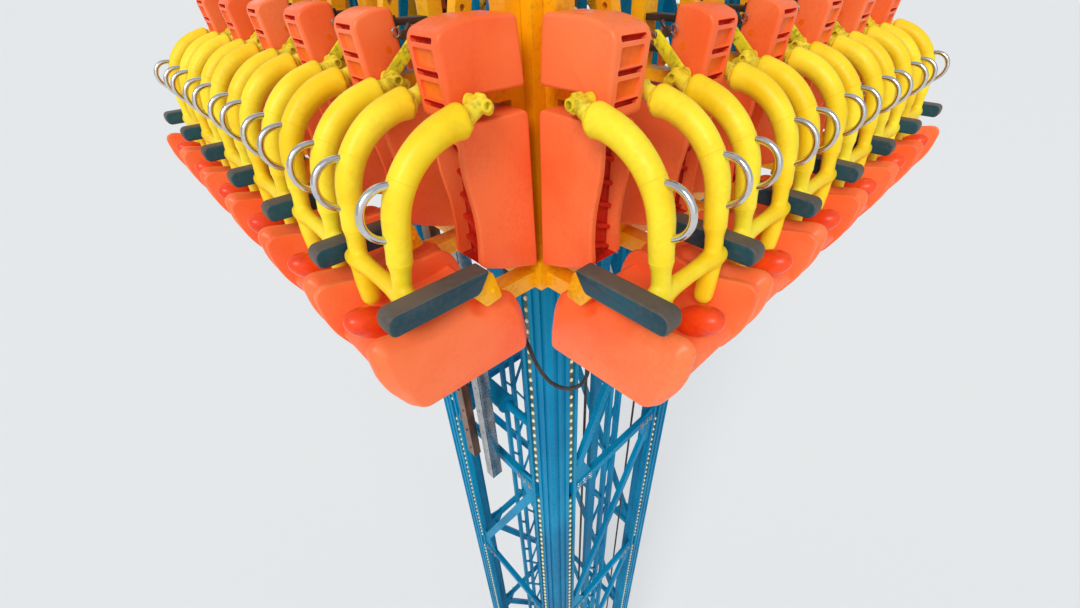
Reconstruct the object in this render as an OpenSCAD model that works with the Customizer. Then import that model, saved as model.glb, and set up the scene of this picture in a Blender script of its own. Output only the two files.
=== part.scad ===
// Drop tower ride: a square lattice tower with a square carriage of outward facing seats.
// Origin: centre of the base frame on the ground, +Z up, X and Y along the tower faces.

/* [Tower] */
// Outer width of the square tower over its columns
tower_w = 1830; // [1700:10:1840]
// Width of a corner column
column_w = 195; // [160:5:220]
// Height of one lattice bay
bay_h = 3000; // [2900:50:3200]
// Number of lattice bays
bays = 10; // [9:1:11]
// Height of the base frame beams
base_h = 250; // [160:10:400]
// Width of the base frame beams
base_beam_w = 260; // [200:10:320]
// Thickness of the flanges and webs of the base frame beams
base_plate_t = 30; // [16:2:40]
// Side of the square plate under each column
foot_w = 400; // [380:10:440]
// Distance between the anchor bolts of a foot
anchor_pitch = 320; // [310:5:340]
// Diameter of an anchor bolt hole
anchor_d = 34; // [22:2:40]
// Height of the lattice bars, seen from the side
bar_h = 90; // [60:5:130]
// Thickness of the lattice bars across the face
bar_t = 60; // [36:4:80]
// Width of the lamp channel beside each column
channel_w = 62; // [40:2:90]
// Width of the inner flange beside each lamp channel
flange_w = 34; // [20:2:50]
// Depth of the lamp channel
channel_d = 70; // [50:5:100]

/* [Lift mast] */
// Width of the lattice mast inside the tower
mast_w = 440; // [400:10:480]
// Width of the mast's wide chord
mast_chord = 110; // [80:5:130]
// Side of the mast's narrow chords and its thickness
mast_tube = 50; // [36:2:60]
// Distance from the tower axis to the mast's outer face
mast_v = 740; // [720:5:760]
// Height of one step of the mast's zigzag
mast_step = 480; // [400:20:700]
// Side of the zigzag bars
mast_bar = 26; // [16:2:34]
// Diameter of a lift rope
rope_d = 22; // [14:1:30]
// Distance from the middle of the tower to each lift rope along the row
rope_u = 390; // [360:5:420]
// Distance from the tower axis to the outer run of the ropes
rope_v = 785; // [775:1:795]
// Distance between the two runs of a lift rope
rope_gap = 670; // [640:2:690]

/* [Cable ladder] */
// Width of the cable ladder on the inside of the tower
ladder_w = 130; // [90:5:180]
// Distance between the rungs of the cable ladder
rung_step = 300; // [200:10:500]
// Side of the cable ladder's bars
ladder_bar = 20; // [14:1:26]

/* [Strut tube] */
// Height of the strut tubes over the ground
strut_z = 21880; // [21700:20:22100]
// Diameter of the strut tube's thick part
strut_d = 170; // [120:5:180]
// Diameter of the strut tube's thin part
strut_thin_d = 76; // [50:2:90]

/* [Head] */
// Height of the head frame over the last bay
head_h = 900; // [800:20:1100]
// Thickness of a head sheave
sheave_t = 60; // [40:2:90]
// Diameter of the sheave shaft
sheave_shaft_d = 70; // [40:2:110]

/* [Carriage] */
// Height of the armrests over the ground in the modelled pose
arm_z = 24400; // [18000:50:25400]
// Number of seats on each side
seats = 6; // [6:1:6]
// Distance between neighbouring seats
seat_pitch = 500; // [494:1:504]
// Distance from the tower axis to the outer face of the carriage ring
ring_out = 1330; // [1322:1:1344]
// Width of the ring beams
ring_w = 120; // [80:5:150]
// Height of the ring beams
ring_h = 140; // [100:5:160]
// Height of the upper ring over the armrests
upper_z = 1000; // [900:10:1200]
// Side of a corner post
post_w = 80; // [60:1:81]
// Width of the stanchion behind each seat
stanchion_w = 80; // [50:5:90]
// Thickness of the stanchion
stanchion_t = 60; // [45:1:70]
// Shift of the stanchion at a row end towards the middle of the row
end_shift = 50; // [30:1:52]

/* [Seat back] */
// Width of the seat back
back_w = 170; // [156:2:186]
// Width of the head block
head_w = 166; // [156:2:186]
// Distance from the tower axis to the rear of the seat back
back_rear = 1352; // [1346:1:1360]
// Distance from the rear of the seat back to the rear of the head block at the row ends
head_setback = 20; // [12:1:30]
// Distance from the tower axis to the rear of the head blocks between the row ends
inner_rear = 1508; // [1480:2:1540]
// Distance from the tower axis to the front of the seat back
back_front = 1630; // [1610:2:1640]
// Distance from the tower axis to the front of the head block
head_front = 1655; // [1640:1:1660]
// Underside of the seat back over the armrests
back_bottom = -150; // [-160:2:-120]
// Top of the lower seat back over the armrests
back_top = 466; // [440:1:470]
// Underside of the head block over the armrests
head_bottom = 538; // [536:1:560]
// Top of the head block over the armrests
head_top = 742; // [720:2:780]
// Width of the head block's slots
slot_w = 112; // [80:2:130]
// Height of a slot
slot_h = 14; // [10:1:20]

/* [Seat pan] */
// Clear gap between neighbouring seat pans
pan_gap = 12; // [8:1:30]
// Thickness of the side cheeks
cheek_t = 44; // [30:2:46]
// Underside of the cheeks below the armrests
pan_bottom = -362; // [-380:2:-340]
// Height of the seat surface over the armrests
seat_z = -165; // [-180:5:-150]
// Thickness of the seat base
seat_t = 46; // [30:2:50]
// Radius of the pommel between the legs
pommel_r = 52; // [40:1:60]

/* [Armrest] */
// Width of an armrest
armrest_w = 78; // [60:2:84]
// Height of an armrest
armrest_h = 80; // [60:1:100]
// Distance from the tower axis to the rear end of an armrest
armrest_rear = 1725; // [1715:1:1740]
// Distance from the tower axis to the tip of an armrest
armrest_tip = 2054; // [2030:1:2080]
// Chamfer of the armrest's edges
armrest_chamfer = 12; // [4:1:18]
// Width of the armrest's bracket
bracket_w = 40; // [24:2:41]

/* [Restraint] */
// Distance from the tower axis to the restraint's hinge
hinge_v = 1530; // [1520:1:1540]
// Height of the hinge over the armrests
hinge_z = 502; // [501:1:503]
// Diameter of the hinge shaft
shaft_d = 40; // [30:1:42]
// Distance from the seat's middle to the middle of a leg
leg_u = 150; // [148:1:152]
// Diameter of the foam on the legs
foam_d = 82; // [70:1:84]
// Radius of the bend over the shoulder, to the middle of the leg
bend_r = 275; // [260:5:285]
// Length of the straight leg below the bend
leg_len = 210; // [200:5:220]
// Half length of the lap piece across the legs
lap_half = 202; // [198:1:205]
// Diameter of the lap piece
lap_d = 86; // [76:1:90]
// Length of the rounded leg end below the lap piece
stub_len = 100; // [90:5:110]
// Diameter of the hub at the hinge
hub_d = 66; // [58:1:68]
// Length of the hub
hub_len = 62; // [50:1:64]
// Diameter of the hand hoop's tube
hoop_d = 20; // [14:1:26]
// Radius of the hand hoop
hoop_r = 78; // [64:1:86]
// Running clearance of the hinge shaft
shaft_gap = 0.4; // [0.3:0.1:1]

/* [Brake fins] */
// Distance from the tower axis to the middle of the fins
fin_v = 1050; // [1040:1:1060]
// Distance from the middle of the side to each fin
fin_u = 178; // [150:2:240]
// Length of the fins below the armrests
fin_drop = 3300; // [3000:10:3600]
// Width of the copper fin
fin_w = 100; // [70:5:130]
// Thickness of the copper fin
fin_t = 14; // [8:1:20]
// Width of the steel guide bar beside it
guide_w = 120; // [90:5:140]

/* [Guide wheels] */
// Diameter of a guide wheel
wheel_d = 150; // [120:5:160]
// Width of a guide wheel
wheel_w = 56; // [40:2:70]
// Running gap between a wheel and the column it rolls on
wheel_gap = 0.3; // [0.2:0.1:2]
// Diameter of a wheel's axle
axle_d = 30; // [20:1:40]

/* [Hidden] */
SIDES = ["front", "left", "back", "right"];
function restraint_name(side, seat) = str("restraint_", SIDES[side], "_", seat);
$fn = 40;

tower_blue = [0.0, 0.42, 0.62];
frame_amber = [0.95, 0.6, 0.05];
shell_coral = [0.98, 0.35, 0.22];
foam_yellow = [0.98, 0.86, 0.05];
rubber_grey = [0.22, 0.22, 0.23];
steel_grey = [0.6, 0.62, 0.64];
copper_brown = [0.5, 0.3, 0.18];

tower_half = tower_w / 2;
column_top = base_h + bays * bay_h;
clear_half = tower_half - column_w;
rail_half = clear_half - channel_w;
ring_in = ring_out - ring_w;
row_half = seats * seat_pitch / 2;
ring_z = back_bottom;
stanchion_v = back_rear - stanchion_t;
bend_start = 88;
bend_end = 8;
bend_v = hinge_v + 120;
bend_z = hinge_z - bend_r + 1;
leg_v = bend_v + bend_r * cos(bend_end);
leg_z = bend_z + bend_r * sin(bend_end);
lap_v = leg_v + leg_len * sin(bend_end);
lap_z = leg_z - leg_len * cos(bend_end);
seat_t_bottom = seat_z - seat_t;
pan_half = (seat_pitch - pan_gap) / 2;
seat_gap = 0.3;

function unit(v) = v / norm(v);
function turn(a, b) = a.x * b.y - a.y * b.x;

// Points of the arc that rounds the corner b between a and c
function corner_arc(a, b, c, r, n) =
    let (p = unit(a - b), q = unit(c - b))
    let (half = acos(p * q) / 2)
    let (centre = b + unit(p + q) * r / sin(half))
    let (start = b + p * r / tan(half) - centre, finish = b + q * r / tan(half) - centre)
    let (from = atan2(start.y, start.x))
    let (sweep = atan2(turn(start, finish), start * finish))
    [for (i = [0:n]) centre + r * [cos(from + sweep * i / n), sin(from + sweep * i / n)]];

// Closed outline whose corners are rounded by the given radii
function rounded(points, radii, n = 3) =
    let (count = len(points))
    [for (i = [0:count - 1])
        each corner_arc(points[(i + count - 1) % count], points[i], points[(i + 1) % count],
            radii[i % len(radii)], n)];

// Half outline of a rod with domed ends, for turning about its axis
function domed(r, half, dome, n = 4) =
    concat([[0, -half]],
        [for (i = [1:n]) [r * sin(90 * i / n), -half + dome - dome * cos(90 * i / n)]],
        [for (i = [n:-1:1]) [r * sin(90 * i / n), half - dome + dome * cos(90 * i / n)]],
        [[0, half]]);

// Places a piece drawn with x along the row and y away from the tower on one side
module on_side(side) {
    rotate([0, 0, -90 * side]) mirror([0, 1, 0]) children();
}

// Places a piece on every side
module on_sides() {
    for (side = [0:3]) on_side(side) children();
}

// Raises a piece of the carriage to its height
module on_carriage() {
    translate([0, 0, arm_z]) children();
}

// Places a piece at the middle of every seat of a row
module at_seats() {
    for (seat = [1:seats]) translate([seat_u(seat), 0, 0]) children();
}

// Places a piece at every stanchion of a row
module at_stanchions() {
    for (seat = [1:seats]) translate([seat_u(seat) + end_way(seat) * end_shift, 0, 0]) children();
}

// Places a piece at every armrest of a row, the two end ones included
module at_armrests() {
    for (i = [0:seats]) translate([i * seat_pitch - row_half, 0, 0]) children();
}

function seat_u(seat) = (seat - 0.5) * seat_pitch - row_half;
function end_way(seat) = seat == 1 ? 1 : seat == seats ? -1 : 0;
function head_rear(seat) = end_way(seat) == 0 ? inner_rear : back_rear + head_setback;

// Extrudes an outline in the v-z plane along the row, centred
module along_u(width) {
    rotate([90, 0, 90]) linear_extrude(height = width, center = true) children();
}

// Extrudes an outline in the u-z plane away from the tower, from v0 to v1
module along_v(v0, v1) {
    translate([0, v1, 0]) rotate([90, 0, 0]) linear_extrude(height = v1 - v0) children();
}

// Box given by its corners
module block(low, high) {
    translate(low) cube(high - low);
}

// Round bar along the row, centred on the side's middle
module rod_u(d, length) {
    rotate([0, 90, 0]) cylinder(d = d, h = length, center = true);
}

// One I-beam of the base frame along x, centred, standing on the ground
module base_beam(length, width) {
    block([-length / 2, -width / 2, 0], [length / 2, width / 2, base_plate_t]);
    block([-length / 2, -width / 2, base_h - base_plate_t], [length / 2, width / 2, base_h]);
    block([-length / 2, -base_plate_t / 2, 0], [length / 2, base_plate_t / 2, base_h]);
}

module base_frame() {
    middle = tower_half - column_w / 2;
    centre = 340;
    color(tower_blue) difference() {
        union() {
            for (side = [0:3]) on_side(side) translate([0, middle, 0])
                base_beam(2 * middle, base_beam_w);
            for (turned = [0, 90]) rotate([0, 0, turned]) base_beam(2 * middle, base_beam_w);
            for (x = [-1, 1]) for (y = [-1, 1]) translate([x * middle, y * middle, 0]) {
                block([-base_beam_w / 2, -base_beam_w / 2, 0], [base_beam_w / 2, base_beam_w / 2, base_h]);
                block([-foot_w / 2, -foot_w / 2, 0], [foot_w / 2, foot_w / 2, base_plate_t]);
            }
            for (z = [0, base_h - base_plate_t])
                block([-centre, -centre, z], [centre, centre, z + base_plate_t]);
        }
        for (x = [-1, 1]) for (y = [-1, 1]) translate([x * middle, y * middle, -1])
            for (bx = [-1, 1]) for (by = [-1, 1])
                translate([bx * anchor_pitch / 2, by * anchor_pitch / 2, 0])
                    cylinder(d = anchor_d, h = base_plate_t + 2);
    }
}

// Stepped outline of the column on the front left corner, with guide ribs on its outer faces
function column_outline() =
    let (w = column_w, rib = w / 5, step = w / 16, chamfer = w / 10)
    let (face = [[chamfer, 0], [rib, 0], [rib, step], [2 * rib, step], [2 * rib, 0], [3 * rib, 0],
        [3 * rib, step], [4 * rib, step], [4 * rib, 0], [w, 0]])
    concat(face, [[w, w]], [for (i = [len(face) - 1:-1:0]) [face[i].y, face[i].x]]);

module columns() {
    color(tower_blue) for (side = [0:3]) on_side(side)
        translate([tower_half, tower_half, base_h]) mirror([1, 0, 0]) mirror([0, 1, 0])
            linear_extrude(height = column_top - base_h) polygon(column_outline());
}

// Bar of the lattice between two points of the face, drawn in its outer plane
module lattice_bar(from, to, width, v0, v1) {
    run = to - from;
    translate([from.x, v1, from.y]) rotate([0, -atan2(run.y, run.x), 0])
        block([0, v0 - v1, -width / 2], [norm(run), 0, width / 2]);
}

// Gusset plate that joins the bars of a bay at a column, turned down at the right hand column
module gusset(u, z, way) {
    reach = 260;
    translate([u, 0, z]) along_v(tower_half - bar_t / 2 - 8, tower_half - bar_t / 2 + 8)
        polygon([[0, -way * reach / 2], [way * reach, -way * bar_h / 2], [way * reach, way * bar_h / 2],
            [way * reach / 3, way * 1.6 * reach], [0, way * 1.6 * reach]]);
}

module lattice() {
    v1 = tower_half - 12;
    v0 = v1 - bar_t;
    half = rail_half - flange_w / 2;
    color(tower_blue) union() {
        for (way = [-1, 1]) translate([way * (rail_half - flange_w / 2), 0, 0])
            block([-flange_w / 2, tower_half - channel_d, base_h], [flange_w / 2, tower_half, column_top]);
        for (way = [-1, 1]) translate([way * (clear_half - channel_w / 2), 0, 0])
            block([-channel_w / 2 - (way > 0 ? 1 : 0), tower_half - channel_d, base_h],
                [channel_w / 2 + (way < 0 ? 1 : 0), tower_half - channel_d + 8, column_top]);
        for (bay = [1:bays]) lattice_bar([-half, base_h + bay * bay_h - bar_h / 2],
            [half, base_h + bay * bay_h - bar_h / 2], bar_h, v0, v1);
        for (bay = [1:bays]) lattice_bar([-half, base_h + (bay - 1) * bay_h + bar_h],
            [half, base_h + bay * bay_h - bar_h], bar_h, v0 + 6, v1 - 6);
        for (bay = [1:bays - 1]) gusset(half, base_h + bay * bay_h - bar_h / 2, -1);
        for (bay = [1:bays - 1]) gusset(-half, base_h + bay * bay_h - bar_h / 2, 1);
    }
}

// Flat truss inside one face: a wide chord, two narrow ones and zigzag bars between them
module mast_truss() {
    half = mast_w / 2;
    middle = half / 4;
    steps = floor((column_top - base_h) / mast_step);
    left = -half + mast_chord / 2;
    for (chord = [[-half, mast_chord], [middle - mast_tube / 2, mast_tube], [half - mast_tube, mast_tube]])
        block([chord.x, mast_v - mast_tube, base_h], [chord.x + chord.y, mast_v, column_top]);
    for (step = [0:steps - 1]) let (z = base_h + step * mast_step + mast_bar, rise = mast_step - mast_bar)
        lattice_bar([left, step % 2 == 0 ? z : z + rise], [middle, step % 2 == 0 ? z + rise : z],
            mast_bar, mast_v - mast_tube / 2 - mast_bar / 2, mast_v - mast_tube / 2 + mast_bar / 2);
    for (step = [0:steps - 1]) let (z = base_h + step * mast_step + mast_bar)
        lattice_bar([middle, z], [half - mast_tube / 2, z + mast_step / 2],
            mast_bar, mast_v - mast_tube / 2 - mast_bar / 2, mast_v - mast_tube / 2 + mast_bar / 2);
}

module lift_mast() {
    color(tower_blue) for (side = [0, 2]) on_side(side) union() mast_truss();
}

sheave_z = column_top + head_h - 300;
sheave_v = rope_v - rope_gap / 2;

module lift_ropes() {
    color(rubber_grey) on_side(0) for (way = [-1, 1]) translate([way * rope_u, sheave_v, 0]) union() {
        for (run = [-1, 1]) translate([0, run * rope_gap / 2, base_h])
            cylinder(d = rope_d, h = sheave_z - base_h, $fn = 16);
        translate([0, 0, sheave_z]) rotate([90, 0, 90])
            rotate_extrude(angle = 180) translate([rope_gap / 2, 0]) circle(d = rope_d, $fn = 16);
    }
}

module cable_ladder() {
    rungs = floor((column_top - base_h) / rung_step);
    half = ladder_w / 2;
    thick = ladder_bar / 2;
    color(rubber_grey) translate([2 * ladder_bar - clear_half, half + 30 - rail_half, base_h]) union() {
        for (way = [-1, 1]) translate([0, way * (half - thick), 0])
            block([-thick, -thick, 0], [thick, thick, column_top - base_h]);
        for (rung = [1:rungs - 1])
            block([-6, thick - half, rung * rung_step], [6, half - thick, rung * rung_step + ladder_bar]);
    }
}

module strut_tubes() {
    length = 2 * clear_half;
    color(tower_blue) for (side = [1, 3]) on_side(side) translate([0, tower_half - 165, strut_z]) union() {
        rod_u(strut_thin_d, length);
        translate([-140, 0, 0]) rod_u(strut_d, 540);
        for (u = [-398, 118]) translate([u, 0, 0]) rod_u(strut_d + 20, 24);
    }
}

module head_frame() {
    beam_w = 100;
    beam_h = 160;
    plate = 30;
    color(tower_blue) on_side(0) union() {
        for (side = [0:3]) on_side(side)
            block([-tower_half, tower_half - beam_w, column_top],
                [tower_half, tower_half, column_top + beam_h]);
        for (way = [-1, 1]) for (face = [-1, 1]) translate([way * rope_u + face * 70, 0, 0]) {
            block([-plate / 2, -tower_half, column_top], [plate / 2, tower_half, column_top + beam_h]);
            difference() {
                along_u(plate) polygon([[sheave_v - 300, column_top], [sheave_v + 300, column_top],
                    [sheave_v + 90, sheave_z + 90], [sheave_v - 90, sheave_z + 90]]);
                translate([0, sheave_v, sheave_z]) rod_u(sheave_shaft_d, plate + 2);
            }
        }
    }
}

module head_sheaves() {
    color(steel_grey) on_side(0) for (way = [-1, 1]) translate([way * rope_u, sheave_v, sheave_z])
        rotate([0, 90, 0]) difference() {
            cylinder(d = rope_gap - rope_d, h = sheave_t, center = true);
            cylinder(d = sheave_shaft_d, h = sheave_t + 2, center = true);
            for (i = [0:4]) rotate([0, 0, 72 * i]) translate([rope_gap / 3.6, 0, 0])
                cylinder(d = rope_gap / 5, h = sheave_t + 2, center = true);
        }
}

module sheave_shafts() {
    color(steel_grey) on_side(0) for (way = [-1, 1]) translate([way * rope_u, sheave_v, sheave_z])
        rod_u(sheave_shaft_d, 200);
}

// Square ring of the carriage between two heights
module ring(z0, z1) {
    on_carriage() difference() {
        block([-ring_out, -ring_out, z0], [ring_out, ring_out, z1]);
        block([-ring_in, -ring_in, z0 - 1], [ring_in, ring_in, z1 + 1]);
    }
}

module ring_lower() {
    color(frame_amber) ring(ring_z - ring_h, ring_z);
}

module ring_upper() {
    color(frame_amber) ring(upper_z, upper_z + ring_h);
}

module corner_posts() {
    color(frame_amber) on_carriage() on_sides()
        block([ring_in, ring_in, ring_z], [ring_in + post_w, ring_in + post_w, upper_z]);
}

module stanchions() {
    arm_half = shaft_d / 2 + 5;
    color(frame_amber) on_carriage() on_sides() at_stanchions() difference() {
        union() {
            block([-stanchion_w / 2, stanchion_v, ring_z], [stanchion_w / 2, back_rear, upper_z]);
            block([-stanchion_w / 2, stanchion_v + 5, hinge_z - arm_half + 4],
                [stanchion_w / 2, hinge_v, hinge_z + arm_half - 4]);
            translate([0, hinge_v, hinge_z]) rod_u(2 * arm_half + 6, stanchion_w);
        }
        translate([0, hinge_v, hinge_z]) rod_u(shaft_d + 2 * shaft_gap, stanchion_w + 2);
    }
}

module seat_arms() {
    color(frame_amber) on_carriage() on_sides() at_seats() along_u(stanchion_w)
        polygon([[ring_out, seat_t_bottom], [armrest_tip - 120, seat_t_bottom],
            [armrest_tip - 120, seat_t_bottom - 25], [back_rear + 200, ring_z - ring_h],
            [ring_out, ring_z - ring_h]]);
}

module lock_arms() {
    color(frame_amber) on_carriage() on_sides() for (i = [1:seats - 1])
        translate([i * seat_pitch - row_half, 0, 0]) difference() {
            along_u(48) polygon([[ring_out - 60, upper_z], [ring_out, upper_z],
                [ring_out + 75, upper_z - 330], [ring_out + 70, upper_z - 365],
                [ring_out + 30, upper_z - 372], [ring_out + 12, upper_z - 350]]);
            for (hole = [[42, -338], [30, -262]])
                translate([0, ring_out + hole.x, upper_z + hole.y]) rod_u(22, 60);
        }
}

module brake_fins() {
    color(copper_brown) on_carriage() for (side = [1, 3]) on_side(side) translate([-fin_u, fin_v, 0])
        block([-fin_w / 2, -fin_t / 2, -fin_drop], [fin_w / 2, fin_t / 2, ring_z]);
}

module guide_bars() {
    color(steel_grey) on_carriage() for (side = [1, 3]) on_side(side) translate([fin_u, fin_v, -fin_drop])
        linear_extrude(height = fin_drop + ring_z) polygon([[-guide_w / 2, -fin_t / 2],
            [guide_w / 2, -fin_t / 2], [guide_w / 2, fin_t / 2], [guide_w / 6, fin_t / 2],
            [guide_w / 6, fin_t * 2], [-guide_w / 6, fin_t * 2], [-guide_w / 6, fin_t / 2],
            [-guide_w / 2, fin_t / 2]]);
}

// Beams from the lower ring inwards that the fins and guide bars hang from
module fin_hangers() {
    color(frame_amber) on_carriage() for (side = [1, 3]) on_side(side) for (way = [-1, 1])
        translate([way * fin_u, 0, 0])
            block([-fin_w / 2, fin_v + (way < 0 ? 0.5 : 2) * fin_t, ring_z - ring_h + 20],
                [fin_w / 2, ring_in, ring_z - 20]);
}

wheel_v = tower_half + wheel_gap + wheel_d / 2;
wheel_u = tower_half - column_w / 2;
wheel_z = [ring_z - ring_h / 2, upper_z + ring_h / 2];

module guide_wheels() {
    color(rubber_grey) on_carriage() on_sides() for (way = [-1, 1]) for (z = wheel_z)
        translate([way * wheel_u, wheel_v, z]) rotate([0, 90, 0]) difference() {
            cylinder(d = wheel_d, h = wheel_w, center = true);
            cylinder(d = axle_d, h = wheel_w + 2, center = true);
        }
}

module wheel_brackets() {
    cheek = 12;
    out = wheel_w / 2 + 4;
    color(frame_amber) on_carriage() on_sides() for (way = [-1, 1]) for (z = wheel_z)
        translate([way * wheel_u, 0, z]) union() {
            for (face = [-1, 1]) block([face * (out + cheek / 2) - cheek / 2, wheel_v - 30, -38],
                [face * (out + cheek / 2) + cheek / 2, ring_in - 20, 38]);
            block([-out - cheek, ring_in - 20, -50], [out + cheek, ring_in, 50]);
            translate([0, wheel_v, 0]) rod_u(axle_d, 2 * out + 2 * cheek);
        }
}

// Side outline of a head block whose rear face is at the given distance from the tower axis
function head_outline(rear) = rounded([[rear, head_bottom], [head_front - 7, head_bottom + 8],
    [head_front, head_top - 36], [head_front - 80, head_top], [rear, head_top]], [12, 18, 30, 50, 16]);

module head_block(rear) {
    difference() {
        along_u(head_w) polygon(head_outline(rear));
        for (i = [0:2]) translate([0, 0, head_top - 52 - 86 * i])
            block([-slot_w / 2, head_front - 30, -slot_h / 2], [slot_w / 2, head_front + 10, slot_h / 2]);
    }
}

module head_blocks() {
    color(shell_coral) on_carriage() on_sides() for (seat = [1:seats]) translate([seat_u(seat), 0, 0])
        head_block(head_rear(seat));
}

// Plates that carry the head blocks on the stanchions
module head_brackets() {
    color(steel_grey) on_carriage() on_sides() for (seat = [1:seats])
        translate([seat_u(seat) + end_way(seat) * end_shift, 0, 0])
            block([10 - stanchion_w / 2, back_rear, head_bottom + 40],
                [stanchion_w / 2 - 10, head_rear(seat), head_top - 40]);
}

// Side outline of the lower seat back, waisted at the middle
function back_outline() = rounded([[back_rear, back_bottom], [back_front - 130, back_bottom + 48],
    [back_front - 15, back_bottom + 110], [back_front - 30, 110], [back_front + 10, 330],
    [back_front - 2, back_top - 4], [back_rear, back_top]], [10, 30, 50, 90, 60, 20, 10]);

module seat_back() {
    wall = 24;
    pocket_v = back_front - 80;
    difference() {
        along_u(back_w) polygon(back_outline());
        block([wall - back_w / 2, pocket_v, -30], [back_w / 2 - wall, back_front + 40, back_top - 60]);
    }
    for (i = [0:3]) translate([0, pocket_v, 20 + 100 * i]) rotate([0, -24, 0])
        block([wall - back_w / 2 + 2, -4, -8], [back_w / 2 - wall - 2, 34, 8]);
}

module seat_backs() {
    color(shell_coral) on_carriage() on_sides() at_seats() seat_back();
}

// Side outline of a pan's cheek, with the scooped edge under the armrest
function cheek_outline() = rounded([[1540, -168], [1515, pan_bottom], [2022, pan_bottom],
    [2090, -238], [2130, -92], [2094, -22], [2021, -48], [1957, -70], [1815, -60], [1770, -20],
    [1640, -92], [1590, -96]], [18, 16, 60, 40, 44, 30, 60, 120, 24, 6, 8, 30]);

// Side outline of the seat base, with its front lip
function base_outline() = rounded([[1522, seat_z - seat_t], [1522, seat_z + 30], [1590, seat_z],
    [1975, seat_z + 8], [2062, -190], [2080, -250], [2048, -256], [2028, seat_z - seat_t]],
    [6, 20, 30, 60, 40, 10, 10, 20]);

// Side outline of the armrest's bracket, pointed at the bottom where it sits in the cheeks
function bracket_outline() = [[1690, 0], [1640, -70], [1712, -135], [1775, -75], [1770, 0]];

module seat_pan() {
    union() {
        along_u(2 * pan_half - cheek_t) polygon(base_outline());
        for (way = [-1, 1]) difference() {
            translate([way * (pan_half - cheek_t / 2), 0, 0]) along_u(cheek_t) polygon(cheek_outline());
            translate([way * seat_pitch / 2, 0, 0]) along_u(bracket_w) polygon(bracket_outline());
        }
        translate([0, 2022, seat_z + 60]) rotate([-60, 0, 0])
            rotate_extrude() polygon(domed(pommel_r, 92, pommel_r));
    }
}

module seat_pans(side) {
    color(shell_coral) on_carriage() on_side(side) at_seats() seat_pan();
}

// Cross section of an armrest
function armrest_section() = rounded([[-armrest_w / 2, 0], [armrest_w / 2, 0],
    [armrest_w / 2, armrest_h], [-armrest_w / 2, armrest_h]], [armrest_chamfer], 2);

module armrests() {
    color(rubber_grey) on_carriage() on_sides() at_armrests() difference() {
        along_v(armrest_rear - 53, armrest_tip) polygon(armrest_section());
        translate([0, armrest_rear, 0]) rotate([33, 0, 0])
            block([-armrest_w, -100, -50], [armrest_w, 0, 2 * armrest_h]);
    }
}

module armrest_brackets() {
    color(frame_amber) on_carriage() on_sides() at_armrests() along_u(bracket_w)
        polygon(bracket_outline());
}

// Route of the hose that hangs under the near corner, measured from the armrests' underside
hose_route = [[-1286, -1020, -290.5], [-1286, -1020, -320], [-1294, -1038, -390],
    [-1318, -1110, -480], [-1344, -1190, -590],
    [-1350, -1250, -672], [-1333, -1267, -763], [-1307, -1293, -851], [-1276, -1324, -917],
    [-1235, -1365, -955], [-1201, -1399, -956], [-1169, -1431, -926], [-1140, -1446, -860],
    [-1110, -1430, -770], [-1080, -1390, -660], [-1050, -1340, -540], [-1028, -1296, -400],
    [-1020, -1286, -320], [-1020, -1286, -290.5]];
hose_d = 22;

// Tube of the given diameter swept along a list of points
module tube_along(route, d, sides = 8) {
    last = len(route) - 1;
    heading = [for (i = [0:last]) unit(route[min(i + 1, last)] - route[max(i - 1, 0)])];
    ring_points = [for (i = [0:last])
        let (side_way = unit(cross(heading[i], [1, -1, 0.02])))
        let (other_way = cross(heading[i], side_way))
        for (k = [0:sides - 1]) route[i] + d / 2 * (side_way * cos(360 * k / sides)
            + other_way * sin(360 * k / sides))];
    walls = [for (i = [0:last - 1]) for (k = [0:sides - 1])
        [i * sides + k, i * sides + (k + 1) % sides,
            (i + 1) * sides + (k + 1) % sides, (i + 1) * sides + k]];
    caps = [[for (k = [sides - 1:-1:0]) k], [for (k = [0:sides - 1]) last * sides + k]];
    polyhedron(points = ring_points, faces = concat(walls, caps), convexity = 4);
}

module hose() {
    color(rubber_grey) on_carriage() tube_along(hose_route, hose_d);
}

// Foam covered leg from the hinge over the shoulder down to the lap piece
module restraint_leg() {
    translate([0, bend_v, bend_z]) rotate([90, 0, 90]) rotate([0, 0, bend_end])
        rotate_extrude(angle = bend_start - bend_end) translate([bend_r, 0]) circle(d = foam_d);
    translate([0, leg_v, leg_z]) rotate([bend_end, 0, 0]) translate([0, 0, -leg_len - stub_len])
        rotate_extrude() polygon(concat([[0, 0]], [for (i = [1:4]) [(foam_d / 2 - 2) * sin(22.5 * i),
            foam_d / 2 * (1 - cos(22.5 * i))]], [[foam_d / 2 - 2, leg_len + stub_len + 6],
            [0, leg_len + stub_len + 6]]));
    translate([0, hinge_v, hinge_z]) rotate([-90, 0, 0]) cylinder(d = hub_d - 16, h = bend_v + 12 - hinge_v);
}

// Hub with a hollow outer end, at one end of the hinge shaft
module restraint_hub() {
    difference() {
        rod_u(hub_d, hub_len);
        translate([hub_len / 2, 0, 0]) rod_u(shaft_d, 24);
    }
}

module hand_hoop() {
    centre_v = leg_v + foam_d / 2 + 30;
    centre_z = leg_z + 20;
    translate([0, centre_v, centre_z]) rotate([90, 0, 90]) rotate([0, 0, -90])
        rotate_extrude(angle = 180) translate([hoop_r, 0]) circle(d = hoop_d, $fn = 20);
    for (way = [-1, 1]) translate([0, centre_v + 3, centre_z + way * hoop_r]) rotate([90, 0, 0])
        cylinder(d = hoop_d + 3, h = 80, $fn = 20);
}

module lock_lever() {
    thick = 14;
    translate([leg_u - hub_len / 2 - thick / 2, hinge_v, hinge_z]) along_u(thick) difference() {
        union() {
            circle(d = hub_d);
            rotate(134) translate([0, -20]) square([150, 40]);
            rotate(134) translate([150, 0]) circle(d = 48);
        }
        rotate(134) translate([150, 0]) circle(d = 20);
    }
}

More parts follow.
